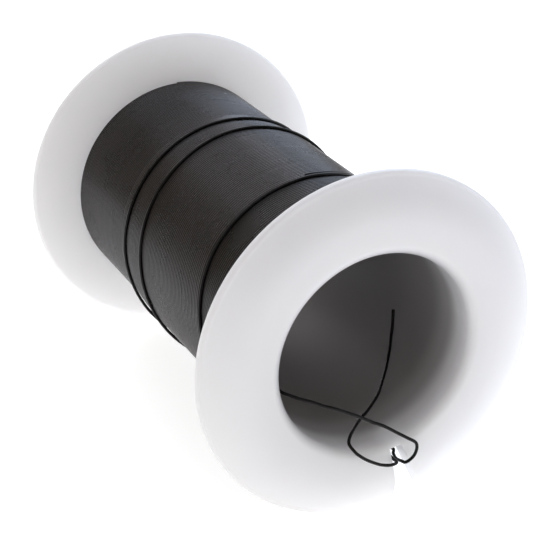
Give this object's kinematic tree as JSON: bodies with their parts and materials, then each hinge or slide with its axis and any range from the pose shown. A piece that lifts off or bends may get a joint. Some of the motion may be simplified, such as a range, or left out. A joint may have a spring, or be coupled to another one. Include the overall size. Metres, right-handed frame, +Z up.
{
  "type": "wire spool",
  "caption": "Hollow flanged plastic spool lying on its side, wound with fine black craft wire, with loose returning turns and free wire ends looped into its bore.",
  "frame": {"origin": "on the ground under the middle of the spool, which lies on the rims of its flanges", "axes": "+Y along the spool's axis from the flange with the wire slot to the plain flange, +Z up, X across; the spool's axis is at X 0, Z 0.01898"},
  "size_m": [0.038, 0.056, 0.038],
  "materials": {
    "spool_plastic": "satin, milky white, slightly translucent",
    "wire_lacquer": "black lacquer on copper wire, satin to glossy"
  },
  "bodies": {
    "root": {"core_barrel": "spool_plastic", "near_flange": "spool_plastic", "far_flange": "spool_plastic", "winding_lower_layers": "wire_lacquer", "winding_top_layer": "wire_lacquer", "return_turn_1": "wire_lacquer", "return_turn_2": "wire_lacquer", "return_turn_3": "wire_lacquer", "finish_tail": "wire_lacquer", "start_tail": "wire_lacquer"}
  },
  "joints": []
}
